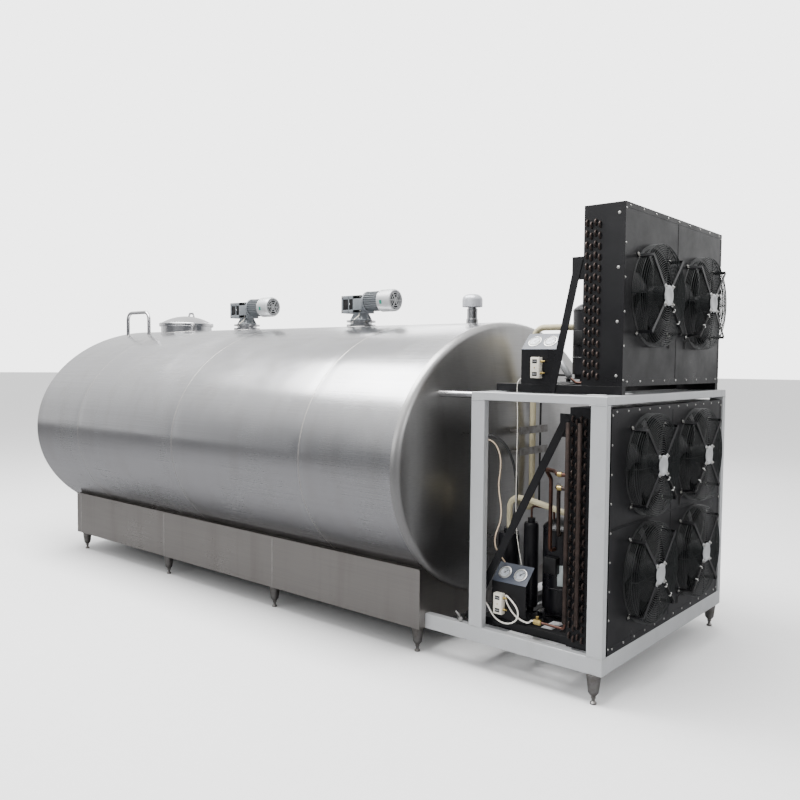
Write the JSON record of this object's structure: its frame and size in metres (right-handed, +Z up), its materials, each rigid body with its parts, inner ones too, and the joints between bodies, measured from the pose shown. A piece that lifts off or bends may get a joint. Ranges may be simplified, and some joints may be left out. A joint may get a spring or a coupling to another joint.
{
  "type": "bulk milk tank",
  "caption": "Oval insulated milk cooling tank on a skid, with two stacked air-cooled condensing units, agitators, manhole and vent.",
  "frame": {"origin": "on the floor under the middle of the whole object", "axes": "+X along the tank towards the condensing units, +Z up"},
  "size_m": [5.12, 2.12, 2.297],
  "materials": {
    "stainless_sheet": "2B stainless sheet with a soft polish and faint streaks",
    "base_sheet": "folded stainless skirt sheet, satin",
    "stainless_fittings": "ground and polished stainless fittings",
    "vessel_steel": "food grade stainless, polished inside",
    "dark_steel": "plain machined steel",
    "vent_white": "pale grey moulded cap",
    "foam": "rigid polyurethane foam",
    "gasket_rubber": "black food rubber",
    "grey_enamel": "grey machine enamel on castings",
    "cowl_silver": "silver painted pressed sheet",
    "frame_grey": "light grey paint on box section",
    "black_powder": "semi-gloss black powder coat",
    "fin_aluminium": "blackened aluminium fins",
    "copper": "dulled copper tube",
    "black_wire": "black coated wire",
    "impeller_black": "black impeller",
    "shell_black": "black enamel on pressure shells",
    "insulation": "cream foamed pipe insulation",
    "panel_blue": "blue-grey painted plate",
    "gauge_case": "bright gauge case",
    "needle_black": "black pointer",
    "controller_cream": "cream moulded housing",
    "cable_white": "white cable sheath",
    "cable_black": "black cable sheath",
    "cable_cream": "cream cable sheath"
  },
  "bodies": {
    "tank": {"base_skirt": "base_sheet", "base_frame": "dark_steel", "leg_cups": "stainless_fittings", "levelling_feet": "dark_steel", "outer_barrel": "stainless_sheet", "outer_heads": "stainless_sheet", "foam_barrel": "foam", "foam_heads": "foam", "inner_vessel": "vessel_steel", "evaporator_plates": "vessel_steel", "manhole_neck": "stainless_fittings", "manhole_gasket": "gasket_rubber", "lid_hinge_pin": "dark_steel", "hoop_handle": "stainless_fittings", "agitator_mounts": "stainless_fittings", "gear_housings": "grey_enamel", "agitator_motors": "grey_enamel", "motor_cowls": "cowl_silver", "vent_stem": "stainless_fittings", "vent_cap": "vent_white", "outlet_valve": "stainless_fittings", "frame_posts": "frame_grey", "frame_bottom_rails": "frame_grey", "frame_top_rails": "frame_grey", "tie_tubes": "stainless_fittings", "pipe_straps": "dark_steel", "base_channels": "black_powder", "condenser_casings": "black_powder", "fin_packs": "fin_aluminium", "return_bends": "copper", "fan_guards": "black_wire", "fan_brackets": "black_powder", "fan_motors": "cowl_silver", "condenser_braces": "black_powder", "compressors": "shell_black", "accumulators": "shell_black", "suction_pipes": "insulation", "copper_pipes": "copper", "gauge_brackets": "black_powder", "gauge_plates": "panel_blue", "gauges": "gauge_case", "pressure_controllers": "controller_cream", "cable_loop": "cable_white", "cable_black": "cable_black", "cable_cream": "cable_cream", "cable_link": "cable_white"},
    "manhole_lid": {"manhole_lid": "stainless_fittings"},
    "agitator_left": {"agitator_left": "stainless_fittings"},
    "agitator_right": {"agitator_right": "stainless_fittings"},
    "valve_handle": {"valve_handle": "dark_steel"},
    "impeller_1": {"impeller_1": "impeller_black"},
    "impeller_2": {"impeller_2": "impeller_black"},
    "impeller_3": {"impeller_3": "impeller_black"},
    "impeller_4": {"impeller_4": "impeller_black"},
    "impeller_5": {"impeller_5": "impeller_black"},
    "impeller_6": {"impeller_6": "impeller_black"},
    "needle_1": {"needle_1": "needle_black"},
    "needle_2": {"needle_2": "needle_black"},
    "needle_3": {"needle_3": "needle_black"},
    "needle_4": {"needle_4": "needle_black"}
  },
  "joints": [
    {"name": "lid_hinge", "type": "hinge", "parent": "tank", "child": "manhole_lid", "pos_m": [-2.042, 0, 1.856], "axis": [0, -1, 0], "range_deg": [0, 100]},
    {"name": "agitator_left_spin", "type": "hinge", "parent": "tank", "child": "agitator_left", "pos_m": [-0.98, 0, 1], "axis": [0, 0, 1], "continuous": true},
    {"name": "agitator_right_spin", "type": "hinge", "parent": "tank", "child": "agitator_right", "pos_m": [0.258, 0, 1], "axis": [0, 0, 1], "continuous": true},
    {"name": "fan_1_spin", "type": "hinge", "parent": "tank", "child": "impeller_1", "pos_m": [2.447, -0.236, 1.883], "axis": [1, 0, 0], "continuous": true},
    {"name": "fan_2_spin", "type": "hinge", "parent": "tank", "child": "impeller_2", "pos_m": [2.447, 0.376, 1.883], "axis": [1, 0, 0], "continuous": true},
    {"name": "fan_3_spin", "type": "hinge", "parent": "tank", "child": "impeller_3", "pos_m": [2.47, -0.306, 0.538], "axis": [1, 0, 0], "continuous": true},
    {"name": "fan_4_spin", "type": "hinge", "parent": "tank", "child": "impeller_4", "pos_m": [2.47, 0.306, 0.538], "axis": [1, 0, 0], "continuous": true},
    {"name": "fan_5_spin", "type": "hinge", "parent": "tank", "child": "impeller_5", "pos_m": [2.47, -0.306, 1.065], "axis": [1, 0, 0], "continuous": true},
    {"name": "fan_6_spin", "type": "hinge", "parent": "tank", "child": "impeller_6", "pos_m": [2.47, 0.306, 1.065], "axis": [1, 0, 0], "continuous": true},
    {"name": "outlet_valve_turn", "type": "hinge", "parent": "tank", "child": "valve_handle", "pos_m": [-2.48, 0, 0.3], "axis": [0, 0, -1], "range_deg": [0, 90]},
    {"name": "gauge_1_needle", "type": "hinge", "parent": "tank", "child": "needle_1", "pos_m": [1.958, -0.522, 1.657], "axis": [0, -0.7071, 0.7071], "range_deg": [-270, 0]},
    {"name": "gauge_2_needle", "type": "hinge", "parent": "tank", "child": "needle_2", "pos_m": [2.048, -0.522, 1.657], "axis": [0, -0.7071, 0.7071], "range_deg": [-270, 0]},
    {"name": "gauge_3_needle", "type": "hinge", "parent": "tank", "child": "needle_3", "pos_m": [1.88, -0.64, 0.489], "axis": [0, -0.7071, 0.7071], "range_deg": [-270, 0]},
    {"name": "gauge_4_needle", "type": "hinge", "parent": "tank", "child": "needle_4", "pos_m": [1.97, -0.64, 0.489], "axis": [0, -0.7071, 0.7071], "range_deg": [-270, 0]}
  ]
}
